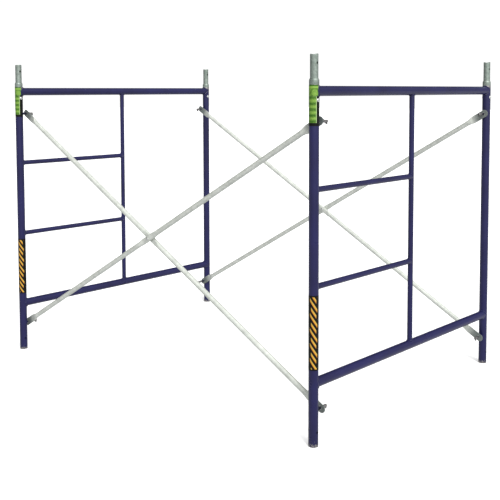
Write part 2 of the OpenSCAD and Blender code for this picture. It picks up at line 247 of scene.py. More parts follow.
# %% [markdown]
# ## Holes
#
# Lock holes, stud holes and the latch's slot are cut after the surface is made, as a drill does.
# An exact boolean keeps the wall round the hole true and makes the hole's inside part of the mesh.
# The cutter's points are marked as worn, because paint chips first at the rim of a hole.

# %% Drilling
def box_grid(low, high):
    """The six sides of a box as one closed grid: two poles, and two square rings between them."""
    low, high = np.asarray(low, float), np.asarray(high, float)
    ring = np.array([[0, 0], [1, 0], [1, 1], [0, 1]], float)
    flat = low[:2] + ring * (high - low)[:2]
    centre = np.broadcast_to((low + high)[:2] / 2, flat.shape)
    layers = [(centre, low[2]), (flat, low[2]), (flat, high[2]), (centre, high[2])]
    return np.stack([np.column_stack([p, np.full(4, z)]) for p, z in layers], axis=1)


def drill_rod(centre, direction, length, radius, around=40):
    """A closed rod through a point, as a grid for drill."""
    half = length / 2
    profile = np.array([[0, -half], [radius, -half], [radius, half], [0, half]])
    return turned(profile, centre, direction, around)


def drill(piece, *grids):
    """Takes each grid's shape out of a piece and keeps the result as the piece's own mesh."""
    cutters = [add_object("cutter", mesh_of("cutter", [(grid, 1.0, True, False)])) for grid in grids]
    for cutter in cutters:
        cut = piece.modifiers.new("hole", "BOOLEAN")
        cut.operation = "DIFFERENCE"
        cut.solver = "EXACT"
        cut.object = cutter
    graph = bpy.context.evaluated_depsgraph_get()
    mesh = bpy.data.meshes.new_from_object(piece.evaluated_get(graph))
    piece.modifiers.clear()
    piece.data = mesh
    mesh.name = piece.name
    for cutter in cutters:
        bpy.data.objects.remove(cutter)
    mesh.set_sharp_from_angle(angle=SMOOTH_BELOW)
    return piece


# %% [markdown]
# ## Node groups that the finishes share
#
# Three effects come back on almost every surface: a slow change of tone, wear that starts at
# edges, and fine dust on what faces up. Each is a node group with named inputs, built once. They
# read Object coordinates, which are the scaffold's own metres, so the grain is at its real scale.

# %% Helpers for nodes
def fill(tree, socket, value):
    """Gives an input a value, or a link where the value is a socket."""
    if isinstance(value, bpy.types.NodeSocket):
        tree.links.new(value, socket)
    else:
        socket.default_value = value


def add(tree, kind, **values):
    """Adds a node and sets its properties, and its inputs where the name is an input's."""
    node = tree.nodes.new(kind)
    for key, value in values.items():
        if key in node.inputs:
            fill(tree, node.inputs[key], value)
        else:
            setattr(node, key, value)
    return node


def math_node(tree, operation, a, b=0.0, clamp=False):
    """A Math node. a and b are numbers or sockets."""
    node = add(tree, "ShaderNodeMath", operation=operation, use_clamp=clamp)
    for socket, value in zip(node.inputs, (a, b)):
        fill(tree, socket, value)
    return node.outputs[0]


def times(tree, a, b, clamp=False):
    """a times b."""
    return math_node(tree, "MULTIPLY", a, b, clamp)


def plus(tree, a, b, clamp=False):
    """a plus b."""
    return math_node(tree, "ADD", a, b, clamp)


def mix(tree, factor, a, b):
    """A colour Mix node. factor, a and b are values or sockets."""
    node = add(tree, "ShaderNodeMix", data_type="RGBA")
    for index, value in ((0, factor), (6, a), (7, b)):
        fill(tree, node.inputs[index], (*value, 1) if isinstance(value, tuple) else value)
    return node.outputs[2]


def ramp(tree, value, low, high):
    """Stretches value so that low becomes 0 and high becomes 1, clamped."""
    node = add(tree, "ShaderNodeMapRange", clamp=True, Value=value, **{"From Min": low, "From Max": high})
    return node.outputs["Result"]


def new_group(name, inputs, outputs):
    """An empty node group with float inputs, given as name: default, and float outputs."""
    tree = bpy.data.node_groups.new(name, "ShaderNodeTree")
    for key, default in inputs.items():
        socket = tree.interface.new_socket(key, in_out="INPUT", socket_type="NodeSocketFloat")
        socket.default_value = default
    for key in outputs:
        tree.interface.new_socket(key, in_out="OUTPUT", socket_type="NodeSocketFloat")
    ends = tree.nodes.new("NodeGroupInput"), tree.nodes.new("NodeGroupOutput")
    return tree, ends[0].outputs, ends[1].inputs


def object_point(tree):
    """The scaffold's own coordinates."""
    return add(tree, "ShaderNodeTexCoord").outputs["Object"]


def worn_value(tree):
    """How worn the piece says it is, from 0 to 1."""
    return add(tree, "ShaderNodeAttribute", attribute_name="worn").outputs["Fac"]


def split_xyz(tree, vector):
    """The three parts of a vector."""
    return add(tree, "ShaderNodeSeparateXYZ", Vector=vector).outputs


def noise(tree, point, scale, detail=4.0, rough=0.55):
    """A Noise texture's value. scale is a number or a socket."""
    node = add(tree, "ShaderNodeTexNoise", Vector=point, Scale=scale, Detail=detail, Roughness=rough)
    return node.outputs["Fac"]


# %% Group: edge wear
def build_edge_wear():
    """Worn where the piece's own worn value, shaken by two noises, passes a limit."""
    tree, given, gives = new_group("edge wear", {"Amount": 0.5, "Scale": 160.0}, ["Mask", "Halo"])
    point = object_point(tree)
    worn = worn_value(tree)
    coarse = noise(tree, point, given["Scale"], 5.0, 0.65)
    fine = noise(tree, point, times(tree, given["Scale"], 4.3), 3.0)
    shake = plus(tree, coarse, times(tree, fine, 0.35))
    total = plus(tree, shake, times(tree, worn, 0.5))
    level = plus(tree, total, times(tree, given["Amount"], 0.3))
    tree.links.new(ramp(tree, level, 1.16, 1.2), gives["Mask"])
    tree.links.new(ramp(tree, level, 1.02, 1.2), gives["Halo"])
    return tree


EDGE_WEAR = build_edge_wear()


# %% Group: dust
def build_dust():
    """Thicker on what faces up, in patches of a noise."""
    tree, given, gives = new_group("dust", {"Amount": 0.3, "Scale": 14.0}, ["Mask"])
    facing = split_xyz(tree, add(tree, "ShaderNodeNewGeometry").outputs["Normal"])
    up = ramp(tree, facing["Z"], -0.2, 1.0)
    cloud = ramp(tree, noise(tree, object_point(tree), given["Scale"], 6.0, 0.6), 0.35, 0.75)
    amount = times(tree, given["Amount"], plus(tree, up, 0.25))
    tree.links.new(times(tree, amount, cloud, clamp=True), gives["Mask"])
    return tree


DUST = build_dust()


# %% Group: fine grain
def build_grain():
    """A fine orange-peel height, and slow tone from a noise twelve times coarser."""
    tree, given, gives = new_group("grain", {"Scale": 420.0}, ["Height", "Tone"])
    point = object_point(tree)
    tree.links.new(noise(tree, point, given["Scale"], 2.0, 0.5), gives["Height"])
    slow = math_node(tree, "DIVIDE", given["Scale"], 60.0)
    tree.links.new(ramp(tree, noise(tree, point, slow, 4.0, 0.6), 0.3, 0.7), gives["Tone"])
    return tree


GRAIN = build_grain()
print("node groups", [g.name for g in bpy.data.node_groups])


# %% [markdown]
# ## Finishes
#
# The frames are dipped in a violet blue enamel that stays glossy. The braces and coupling pins
# are hot-dip galvanized: zinc freezes in crystals, the spangle, and dulls to a greenish grey.
# Rivets are zinc plated and brighter, and latches darker. The films are printed.

# %% A material with its groups placed
def start_material(name, **constants):
    """A material with a Principled shader whose constants are set on its own sockets."""
    material = bpy.data.materials.new(name)
    material.use_nodes = True
    tree = material.node_tree
    shader = next(n for n in tree.nodes if n.type == "BSDF_PRINCIPLED")
    for key, value in constants.items():
        shader.inputs[key.replace("_", " ")].default_value = value
    return material, tree, shader


def place(tree, group, **values):
    """Places a shared group with its own input values."""
    return add(tree, "ShaderNodeGroup", node_tree=group, **values).outputs


def feed(tree, shader, **sockets):
    """Links each socket to the shader's input of that name."""
    for key, socket in sockets.items():
        tree.links.new(socket, shader.inputs[key.replace("_", " ")])


def bump(tree, shader, height, strength, distance=MM):
    """Feeds a height through a Bump node to the shader's normal."""
    node = add(tree, "ShaderNodeBump", Strength=strength, Distance=distance, Height=height)
    feed(tree, shader, Normal=node.outputs["Normal"])


# %% Enamel
def enamel(name, base, lighter, wear=0.45):
    """Glossy enamel: two close tones, dust, and chips down to grey steel at the edges."""
    material, tree, shader = start_material(name, Coat_Roughness=0.14, Specular_IOR_Level=0.28)
    grain = place(tree, GRAIN, Scale=380.0)
    chips = place(tree, EDGE_WEAR, Amount=wear, Scale=150.0)
    dust = place(tree, DUST, Amount=0.16, Scale=9.0)
    colour = mix(tree, grain["Tone"], base, lighter)
    colour = mix(tree, dust["Mask"], colour, (0.035, 0.037, 0.11))
    colour = mix(tree, times(tree, chips["Halo"], 0.55), colour, (0.012, 0.011, 0.03))
    colour = mix(tree, chips["Mask"], colour, (0.3, 0.29, 0.28))
    rough = plus(tree, times(tree, dust["Mask"], 0.5), 0.27)
    rough = plus(tree, rough, times(tree, chips["Mask"], 0.2), clamp=True)
    metal = times(tree, chips["Mask"], 0.9)
    coat = times(tree, math_node(tree, "SUBTRACT", 1.0, chips["Mask"]), 0.18)
    feed(tree, shader, Base_Color=colour, Roughness=rough, Metallic=metal, Coat_Weight=coat)
    height = math_node(tree, "SUBTRACT", times(tree, grain["Height"], 0.25), chips["Mask"])
    bump(tree, shader, height, 0.35, 0.4 * MM)
    return material


NAVY = enamel("navy enamel", (0.0068, 0.0062, 0.042), (0.0108, 0.0106, 0.068))
STUD_PAINT = enamel("dark stud enamel", (0.0045, 0.0045, 0.014), (0.007, 0.007, 0.024), 0.55)


# %% Galvanized steel
def galvanized(name, dark, light, spangle=110.0, rough=0.42, shine=0.75, tab_shade_colour=None):
    """Zinc: each crystal of a Voronoi pattern has its own tone and gloss, under slow streaks.
    The last argument is a painted shade colour: the zinc darkens to it where the piece's worn value is
    high, as on the braces' pressed tabs."""
    material, tree, shader = start_material(name, Metallic=shine)
    point = object_point(tree)
    cells = add(tree, "ShaderNodeTexVoronoi", Vector=point, Scale=spangle, Randomness=1.0)
    tone = add(tree, "ShaderNodeSeparateColor", Color=cells.outputs["Color"]).outputs
    streak = ramp(tree, noise(tree, point, 17.0, 6.0, 0.62), 0.3, 0.72)
    mixed = plus(tree, times(tree, tone[0], 0.45), times(tree, streak, 0.55))
    colour = mix(tree, mixed, dark, light)
    dust = place(tree, DUST, Amount=0.35, Scale=20.0)
    colour = mix(tree, dust["Mask"], colour, (0.5, 0.5, 0.47))
    wear = place(tree, EDGE_WEAR, Amount=0.2, Scale=120.0)
    colour = mix(tree, times(tree, wear["Halo"], 0.45), colour, (0.13, 0.12, 0.1))
    # Painted shade: where the worn value is high, on the braces' pressed tabs, the zinc is darkened.
    if tab_shade_colour:
        tab_shade_mask = plus(tree, worn_value(tree), times(tree, streak, 0.25))
        colour = mix(tree, ramp(tree, tab_shade_mask, 0.3, 1.15), colour, tab_shade_colour)
    dull = plus(tree, times(tree, tone[1], 0.18), rough)
    dull = plus(tree, dull, times(tree, dust["Mask"], 0.3), clamp=True)
    feed(tree, shader, Base_Color=colour, Roughness=dull)
    fine = noise(tree, point, 700.0, 3.0)
    height = plus(tree, times(tree, tone[2], 0.5), fine)
    bump(tree, shader, height, 0.25, 0.15 * MM)
    return material


# The braces' zinc darkens its pressed tabs towards the last colour, as painted shade.
ZINC = galvanized("galvanized steel", (0.47, 0.50, 0.45), (0.74, 0.77, 0.71), shine=0.3,
                  tab_shade_colour=(0.155, 0.18, 0.17))
PIN_ZINC = galvanized("weathered zinc", (0.13, 0.165, 0.14), (0.30, 0.36, 0.32), shine=0.6)
BRIGHT = galvanized("bright zinc plate", (0.50, 0.52, 0.50), (0.75, 0.77, 0.74), 300.0, 0.25, 0.9)
LATCH = galvanized("darkened zinc plate", (0.035, 0.037, 0.037), (0.09, 0.094, 0.094), 260.0, 0.4, 0.7)
print("materials", [m.name for m in bpy.data.materials])


# %% [markdown]
# ## Leg tubes
#
# A leg is a length of welded steel tube, cut square, with a sized socket at its foot and lock holes
# near both ends. It could be a cylinder with a Solidify modifier, but the lips and the socket step
# would need extra work. One closed profile, up the outer wall, over the lip and down the bore, is
# turned about the leg's axis, so wall, lips and bore are one surface.

# %% Legs
LEG_WALL = 2.4 * MM
SOCKET_R = 19.3 * MM
SOCKET_DEPTH = 130 * MM
HOLE_R = 5.55 * MM
HOLE_INSET = 63.5 * MM


def wear_near(height, ends, reach):
    """1 at the given heights, fading to 0 over the reach."""
    gap = np.min(np.abs(height[..., None] - np.asarray(ends)), axis=-1)
    return np.clip(1 - gap / reach, 0, 1)


def leg_profile():
    """(radius, height) up the outer wall, over the top lip, down the bore and out at the foot."""
    bore = LEG_R - LEG_WALL
    corners = [(LEG_R, 0), (LEG_R, LEG_H), (bore, LEG_H), (bore, SOCKET_DEPTH),
               (SOCKET_R, SOCKET_DEPTH - MM), (SOCKET_R, 0)]
    loop = rounded(corners, 0.6 * MM, 3, closed=True)
    outer = np.column_stack([np.full(38, LEG_R), along(0.02, LEG_H - 0.02, 38)])
    return np.concatenate([loop[:4], outer, loop[4:]])


def make_leg(side, row):
    """One leg, with a lock hole through it along X near each end."""
    node = f"{side}_{row}_leg"
    foot = np.array([SIDE_X[side], ROW_Y[row], 0.0])
    grid = turned(leg_profile(), foot, Z, 72)
    worn = wear_near(grid[..., 2], [0, LEG_H], 0.035)
    leg = make_piece(f"{node}_tube", [(grid, worn, True, True)], NAVY, [node])
    holes = [drill_rod(foot + Z * h, X, 3 * LEG_R, HOLE_R) for h in (HOLE_INSET, LEG_H - HOLE_INSET)]
    return drill(leg, *holes)


LEGS = [make_leg(*corner) for corner in CORNERS]
report("legs", LEGS)


# %% [markdown]
# ## Bars, post and rungs
#
# Where a tube meets another it is coped: its end is cut to a saddle so that it sits on the round
# wall. The saddle is at the square root of R squared minus (r cos a) squared from the other
# tube's centre line. Each line of the grid along the tube is stretched to end on the saddle. A
# boolean with the other tube would do the same, but leaves ragged faces at the rim.

# %% Coped tubes
WELD_GAP = 0.1 * MM


def saddle(radius, across, run_radius):
    """How far from the run's centre line a point of the branch meets the run's wall."""
    return np.sqrt(np.maximum((run_radius + WELD_GAP) ** 2 - (radius * across) ** 2, 1e-10))


def coped_tube(start, end, radius, wall, run_radius, run_axis, stations=30):
    """A hollow tube between two runs' centre lines, coped at both ends. Returns points and wear."""
    start, end = np.asarray(start, float), np.asarray(end, float)
    length = np.linalg.norm(end - start)
    w = (end - start) / length
    v = np.asarray(run_axis, float)
    u = np.cross(v, w)
    a = circle(64)
    share = along(0, 1, stations)
    radii = np.concatenate([np.full(stations, radius), np.full(4, radius - wall)])
    spread = np.concatenate([share, [1, 0.7, 0.3, 0]])
    low = saddle(radii, np.cos(a), run_radius[0])
    high = length - saddle(radii, np.cos(a), run_radius[1])
    s = low + (high - low) * spread
    ring = (radii * np.cos(a))[..., None] * u + (radii * np.sin(a))[..., None] * v
    return start + ring + s[..., None] * w, 0.45 * wear_near(s, [0, length], 0.05)


def make_tube(node, start, end, radius, wall, run_radius, run_axis):
    """A coped tube that stands for its CAD node."""
    points, worn = coped_tube(start, end, radius, wall, run_radius, run_axis)
    return make_piece(f"{node}_tube", [(points, worn, True, True)], NAVY, [node])


RUNG_WALL = 2.0 * MM
TUBES = []
for side in SIDES:
    x = SIDE_X[side]
    for name, level in (("bottom_bar", "lower"), ("top_bar", "upper")):
        ends = [(x, ROW_Y[row], BAR_Z[level]) for row in ROWS]
        TUBES.append(make_tube(f"{side}_{name}", *ends, BAR_R, LEG_WALL, (LEG_R, LEG_R), Z))
    post_ends = [(x, 0, BAR_Z[level]) for level in LEVELS]
    TUBES.append(make_tube(f"{side}_center_post", *post_ends, RUNG_R, RUNG_WALL, (BAR_R, BAR_R), Y))
    for level in LEVELS:
        ends = [(x, ROW_Y["near"], RUNG_Z[level]), (x, 0, RUNG_Z[level])]
        TUBES.append(make_tube(f"{side}_{level}_rung", *ends, RUNG_R, RUNG_WALL, (LEG_R, RUNG_R), Z))
report("bars, posts and rungs", TUBES)


# %% [markdown]
# ## Weld beads
#
# A weld is a rope of frozen metal laid round the joint, one overlapping puddle after another. Its
# centre follows the saddle. Across it, the bead leans on the branch on one side and on the run on
# the other, and bulges out between them. The puddles are a ripple along the seam: the size grows
# by a small share of the absolute sine of the puddle angle. A bevelled curve would also follow the
# seam, but a ring of nine points carried round it can lean on both tubes.

# %% Weld beads
def unit(vectors):
    """Vectors scaled to length 1."""
    return vectors / np.maximum(np.linalg.norm(vectors, axis=-1, keepdims=True), 1e-9)


def weld_bead(name, centre, branch, run_axis, branch_r, run_r, size):
    """A rippled fillet ring round the joint of a branch tube on a run tube."""
    w, v = np.asarray(branch, float), np.asarray(run_axis, float)
    u = np.cross(v, w)
    puddles = max(10, int(2 * np.pi * branch_r / (3.2 * MM)))
    a = circle(puddles * 6)[..., None]
    soft = 1.2 * MM
    rise = np.sqrt(np.maximum(run_r**2 - (branch_r * np.cos(a)) ** 2, 0) + soft**2)
    seam = np.asarray(centre) + branch_r * (np.cos(a) * u + np.sin(a) * v) + rise * w
    off_branch = np.cos(a) * u + np.sin(a) * v
    off_run = unit(branch_r * np.cos(a) * u + rise * w)
    out = unit(off_branch - np.sum(off_branch * off_run, -1, keepdims=True) * off_run)
    lean = unit(off_branch + off_run)
    ripple = 1 + 0.16 * np.abs(np.sin(puddles * a / 2)) + 0.06 * np.sin(3 * a + branch_r * 900)
    t = np.linspace(0, np.pi / 2, 8)[None, :, None]
    face = seam + size * ripple * (np.cos(t) * w + np.sin(t) * out + 0.32 * np.sin(2 * t) * lean)
    back = seam - 0.7 * MM * (off_branch + off_run)
    ring = np.concatenate([face, back], axis=1)
    return make_piece(name, [(ring, 0.25, True, True)], NAVY)


def welds_of(side):
    """(name, joint centre, branch direction, run axis, branch radius, run radius, size) of each."""
    x = SIDE_X[side]
    for row in ROWS:
        out = Y * INWARD[row]
        for name, level in (("bottom_bar", "lower"), ("top_bar", "upper")):
            yield f"{row}_{name}", (x, ROW_Y[row], BAR_Z[level]), out, Z, BAR_R, LEG_R, 4.2 * MM
        for level in LEVELS:
            yield f"{row}_{level}_stud", (x, ROW_Y[row], STUD_Z[level]), out, Z, STUD_R, LEG_R, 2.6 * MM
    for level, up in zip(LEVELS, (Z, -Z)):
        yield f"post_{level}", (x, 0, BAR_Z[level]), up, Y, RUNG_R, BAR_R, 3.2 * MM
        yield f"{level}_rung_leg", (x, ROW_Y["near"], RUNG_Z[level]), Y, Z, RUNG_R, LEG_R, 3.2 * MM
        yield f"{level}_rung_post", (x, 0, RUNG_Z[level]), -Y, Z, RUNG_R, RUNG_R, 3.2 * MM


WELDS = [weld_bead(f"{side}_{name}_weld", *joint) for side in SIDES for name, *joint in welds_of(side)]
report("weld beads", WELDS)


# %% [markdown]
# ## Brace studs, cross pins and latches
#
# A stud is a short turned bar, welded to the leg. In a slot in its end a tongue turns on a cross
# pin. The tongue's tail is the heavier end, so its nose stands up behind the brace's tab and keeps
# it on. Turning the tongue flat lets the tab slide off.

# %% Studs
JOINTS = {joint["child"]: joint for joint in frame["joints"]}
BODY_OF = {child.name: body for body, empty in frame["bodies"].items() for child in empty.children}
SLOT_HALF = 2.1 * MM
SLOT_REACH = 15.3 * MM
PIN_R = 2.0 * MM
PIN_LEN = 11.2 * MM


def stud_place(side, row, level):
    """The stud's foot on the leg's centre line, and its direction."""
    return np.array([SIDE_X[side], ROW_Y[row], STUD_Z[level]]), Y * INWARD[row]


def pivot_of(side, row, level):
    """Where the latch turns, from its joint."""
    return np.array(JOINTS[BODY_OF[f"{side}_{row}_{level}_latch"]]["pos_m"])


def make_stud(side, row, level):
    """A turned stud with a bevelled tip, slotted and drilled."""
    node = f"{side}_{row}_{level}_stud"
    foot, out = stud_place(side, row, level)
    tip = max(abs(corner[1] - foot[1]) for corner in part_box(node))
    root = LEG_R - 2 * MM
    corners = [(0, root), (STUD_R, root), (STUD_R, tip - 1.4 * MM), (STUD_R - 1.6 * MM, tip), (0, tip)]
    profile = rounded(corners, 0.5 * MM, 3)
    rings = np.column_stack([np.full(8, STUD_R), along(root + 4 * MM, tip - 4 * MM, 8)])
    profile = np.concatenate([profile[:5], rings, profile[5:]])
    grid = turned(profile, foot, out, 48)
    worn = np.clip((np.abs(grid[..., 1] - foot[1]) - 0.04) / 0.03, 0, 1)
    stud = make_piece(f"{node}_bar", [(grid, worn, True, False)], STUD_PAINT, [node])
    pivot = pivot_of(side, row, level)
    reach = abs(pivot[1] - foot[1])
    y_low, y_high = sorted(foot[1] + out[1] * np.array([reach - SLOT_REACH, tip + 5 * MM]))
    low = (pivot[0] - SLOT_HALF, y_low, pivot[2] - 2 * STUD_R)
    high = (pivot[0] + SLOT_HALF, y_high, pivot[2] + 2 * STUD_R)
    return drill(stud, box_grid(low, high), drill_rod(pivot, X, 4 * STUD_R, PIN_R - 0.01 * MM, 24))


STUDS = [make_stud(*spot) for spot in PLACES]
report("studs", STUDS)


# %% Cross pins of the latches
def headed_pin(centre, length, radius, dome):
    """A short pin along X with low domed ends, as a closed turned grid."""
    a = np.linspace(0, np.pi / 2, 7)
    foot = np.column_stack([radius * np.sin(a), -length / 2 - dome * np.cos(a)])
    head = np.column_stack([radius * np.cos(a), length / 2 + dome * np.sin(a)])
    return turned(np.concatenate([foot, head]), centre, X, 28)


pins = [(headed_pin(pivot_of(*spot), PIN_LEN, PIN_R, 0.35 * MM), 0.3, True, False) for spot in PLACES]
CROSS_PINS = make_piece("latch_cross_pins_set", pins, BRIGHT, ["latch_cross_pins"])
report("cross pins", [CROSS_PINS])


# %% Latch tongues
LATCH_T = 3.6 * MM
LATCH_HALF_W = 4.5 * MM
LATCH_NOSE = 14 * MM
LATCH_TAIL = 22 * MM
LATCH_TILT = math.radians(30)


def tongue_grid(pivot, out):
    """A plate with round ends. A point of its outline is the nearer end of the middle line plus
    the half width times (cos a, sin a). The rim is rounded by drawing the outline in."""
    a = circle(56)
    ends = np.where(np.cos(a) >= 0, LATCH_TAIL - LATCH_HALF_W, LATCH_HALF_W - LATCH_NOSE)
    rim = 0.8 * MM
    b = np.linspace(0, np.pi / 2, 5)
    inset = np.concatenate([[LATCH_HALF_W], rim * (1 - np.sin(b)), rim * (1 - np.cos(b)), [LATCH_HALF_W]])
    half = LATCH_T / 2
    across = np.concatenate([[-half], -half + rim * (1 - np.cos(b)), half - rim * (1 - np.sin(b)), [half]])
    width = np.maximum(LATCH_HALF_W - inset, 0)
    s = ends + width * np.cos(a)
    h = width * np.sin(a)
    tilted_s = s * math.cos(LATCH_TILT) + h * math.sin(LATCH_TILT)
    tilted_h = h * math.cos(LATCH_TILT) - s * math.sin(LATCH_TILT)
    x = np.broadcast_to(across, s.shape)
    return pivot + x[..., None] * X + tilted_s[..., None] * out + tilted_h[..., None] * Z


def make_latch(side, row, level):
    """The tongue on its own body, drilled for its cross pin."""
    node = f"{side}_{row}_{level}_latch"
    pivot, body = pivot_of(side, row, level), BODY_OF[node]
    grid = tongue_grid(pivot, Y * INWARD[row])
    latch = make_piece(f"{node}_tongue", [(grid, 0.5, True, False)], LATCH, [node], body)
    return drill(latch, drill_rod(pivot, X, 3 * LATCH_T, PIN_R + 0.05 * MM, 32))


LATCHES = [make_latch(*spot) for spot in PLACES]
report("latches", LATCHES)


# %% [markdown]
# ## Cross braces
#
# Each bar is a galvanized tube. Its ends are pressed flat, and where two bars cross it is pressed
# to an oval, so that they lie close together. The cross-section changes along the bar from that
# oval to a circle to a flat tab, always with two straight sides and two round edges. At angle a
# the point is (half width - half thickness) times a clipped cosine plus half thickness times cos a,
# and half thickness times sin a. Both halves follow smooth steps along the bar, and the tab ends in
# a half circle. A Simple Deform modifier could flatten an end, but not also press the oval.

# %% Brace bars
STUD_SPAN = STUD_Z["upper"] - STUD_Z["lower"]
BAY = SIDE_X["right"] - SIDE_X["left"]
BRACE_HALF = math.hypot(BAY, STUD_SPAN) / 2
BRACE_ANGLE = math.atan2(STUD_SPAN, BAY)
FLAT_HALF_W = 19.5 * MM
FLAT_HALF_T = 1.7 * MM
TAB_END = 25 * MM
TAB_LEN = 65 * MM
FLARE = 40 * MM
OVAL_HALF_T = 8.25 * MM
OVAL_HALF_W = OVAL_HALF_T + (BRACE_R - OVAL_HALF_T) * math.pi / 2
MID_FLAT = OVAL_HALF_W / math.sin(BRACE_ANGLE) + 4.3 * MM
MID_END = MID_FLAT + FLARE
TAB_START = BRACE_HALF - TAB_LEN
FLARE_START = TAB_START - FLARE
TIP_START = BRACE_HALF + TAB_END - FLAT_HALF_W
STUD_HOLE_R = 7.15 * MM
RIVET_HOLE_R = 4.75 * MM
DRAIN_R = 3 * MM
DRAIN_INSET = 12 * MM


def smooth_step(value, low, high):
    """0 below low, 1 above high, and 3t^2 - 2t^3 between."""
    t = np.clip((value - low) / (high - low), 0, 1)
    return t * t * (3 - 2 * t)


def bar_stations():
    """Distances along half a bar from the crossing: dense where the shape changes."""
    marks = (0, MID_FLAT, MID_END, FLARE_START, TAB_START, TIP_START)
    runs = [along(*run) for run in zip(marks, marks[1:], (6, 16, 42, 16, 12))]
    tip = TIP_START + FLAT_HALF_W * np.sin(along(0, np.pi / 2, 14))
    return np.unique(np.round(np.concatenate([*runs, tip]), 7))


def bar_section(s):
    """Half width and half thickness at each distance from the crossing."""
    oval = 1 - smooth_step(s, MID_FLAT, MID_END)
    flat = smooth_step(s, FLARE_START, TAB_START)
    half_w = BRACE_R + (OVAL_HALF_W - BRACE_R) * oval + (FLAT_HALF_W - BRACE_R) * flat
    half_t = BRACE_R + (OVAL_HALF_T - BRACE_R) * oval + (FLAT_HALF_T - BRACE_R) * flat
    past = np.maximum(s - TIP_START, 0)
    half_w = np.minimum(half_w, np.sqrt(np.maximum(FLAT_HALF_W**2 - past**2, 0)))
    return half_w, np.minimum(half_t, half_w)


def brace_grid(y, angle):
    """The whole bar's points: rows go round the section, columns along the bar."""
    half = bar_stations()
    s = np.concatenate([-half[:0:-1], half])[None, :]
    half_w, half_t = bar_section(np.abs(s))
    a = circle(56)
    wide = (half_w - half_t) * np.clip(1.7 * np.cos(a), -1, 1) + half_t * np.cos(a)
    thick = half_t * np.sin(a)
    bar = math.cos(angle) * X + math.sin(angle) * Z
    up = math.cos(angle) * Z - math.sin(angle) * X
    centre = Y * y + Z * (STUD_Z["upper"] + STUD_Z["lower"]) / 2
    points = centre + s[..., None] * bar + wide[..., None] * up + thick[..., None] * Y
    # This value drives the edge wear, and on the zinc it also sets the painted shade of the pressed tabs.
    worn = smooth_step(np.abs(s), FLARE_START, BRACE_HALF - 10 * MM) * np.ones_like(wide)
    return points, worn, bar, centre


def make_brace(row, slope):
    """One bar with its stud holes, the rivet hole at the crossing and four drain holes below."""
    node = f"{row}_{slope}_brace"
    angle = BRACE_ANGLE if slope == "rising" else -BRACE_ANGLE
    points, worn, bar, centre = brace_grid(middle(node)[1], angle)
    brace = make_piece(f"{node}_bar", [(points, worn, True, False)], ZINC, [node])
    stud_holes = [drill_rod(centre + bar * s * BRACE_HALF, Y, 40 * MM, STUD_HOLE_R) for s in (-1, 1)]
    middle_hole = drill_rod(centre, Y, 60 * MM, RIVET_HOLE_R)
    down = np.cross(bar, Y) * (1 if np.cross(bar, Y)[2] < 0 else -1)
    inner, outer = MID_END + DRAIN_INSET, FLARE_START - DRAIN_INSET
    drains = [drill_rod(centre + bar * s + down * BRACE_R, down, BRACE_R, DRAIN_R, 24)
              for s in (-outer, -inner, inner, outer)]
    return drill(brace, middle_hole, *stud_holes, *drains)


BRACES = [make_brace(row, slope) for row in ROWS for slope in ("rising", "falling")]
report("brace bars", BRACES)


# %% [markdown]
# ## Rivets and washers
#
# A rivet is one turned shape: a shank, a domed head and a formed tail. The dome is an ellipse, at
# angle a the radius is the head's radius times cos a and the height is the head's height times
# sin a. A small flat lip under the dome keeps it from ending in a knife edge.

# %% Rivets
CROSSING_RIVET_R = 4.7 * MM
WASHER_BORE_R = 4.76 * MM
LEG_RIVET_R = 5.3 * MM


def dome(radius, height, base, flip=1):
    """(radius, height) from the rim to the pole of a rivet head."""
    a = np.linspace(0, np.pi / 2, 12)
    arc = np.column_stack([radius * np.cos(a), base + flip * (0.3 * MM + (height - 0.3 * MM) * np.sin(a))])
    return np.concatenate([[(radius, base)], arc])


def rivet_profile(shank_r, length, head_r, head_h, tail_r, tail_h):
    """A whole rivet: tail pole, tail rim, shank, head rim, head pole."""
    tail = dome(tail_r, tail_h, 0, -1)[::-1]
    return np.concatenate([tail, [(shank_r, 0), (shank_r, length)], dome(head_r, head_h, length)])


def make_coupling_rivets():
    """The four rivets through legs and coupling pins, with their heads towards +X."""
    low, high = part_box("coupling_pin_rivets")
    head_r = (high[2] - low[2]) / 2
    profile = rivet_profile(LEG_RIVET_R, 2 * LEG_R, head_r, high[0] - SIDE_X["right"] - LEG_R,
                            head_r - 1.5 * MM, SIDE_X["left"] - LEG_R - low[0])
    spots = [(SIDE_X[s] - LEG_R, ROW_Y[r], LEG_H - HOLE_INSET) for s, r in CORNERS]
    grids = [(turned(profile, spot, X, 48), 0.4, True, False) for spot in spots]
    return make_piece("coupling_pin_rivet_set", grids, BRIGHT, ["coupling_pin_rivets"])


def make_crossing_rivet(row):
    """The rivet where two bars cross, and the washer between them."""
    node = f"{row}_brace_rivet"
    low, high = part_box(node)
    centre = middle(node)
    stack = abs(middle(f"{row}_rising_brace")[1] - middle(f"{row}_falling_brace")[1]) + 2 * OVAL_HALF_T
    head_h = (high[1] - low[1] - stack) / 2
    head_r = (high[0] - low[0]) / 2
    profile = rivet_profile(CROSSING_RIVET_R, stack, head_r, head_h, head_r, head_h)
    grid = turned(profile, centre - Y * stack / 2, Y, 48)
    return make_piece(f"{node}_turned", [(grid, 0.4, True, False)], BRIGHT, [node])


def make_washer(row):
    """A flat ring with rounded rims."""
    node = f"{row}_brace_washer"
    half, outer = extent(node)[1] / 2, extent(node)[0] / 2
    corners = [(outer, -half), (outer, half), (WASHER_BORE_R, half), (WASHER_BORE_R, -half)]
    grid = turned(rounded(corners, 0.3 * MM, 3, closed=True), middle(node), Y, 48)
    return make_piece(f"{node}_ring", [(grid, 0.4, True, True)], BRIGHT, [node])


FASTENERS = [make_coupling_rivets()]
FASTENERS += [make(row) for row in ROWS for make in (make_crossing_rivet, make_washer)]
report("rivets and washers", FASTENERS)


# %% [markdown]
# ## Coupling pins and collars
#
# A coupling pin is a tube half in the leg and half above it, for the next frame to stand on. Its
# ends are cut to a shallow V: the rim falls by the notch depth times (1 - |sin a|). A boolean could
# cut it, but moving the profile's ends leaves a clean rim. The collar is a turned ring.

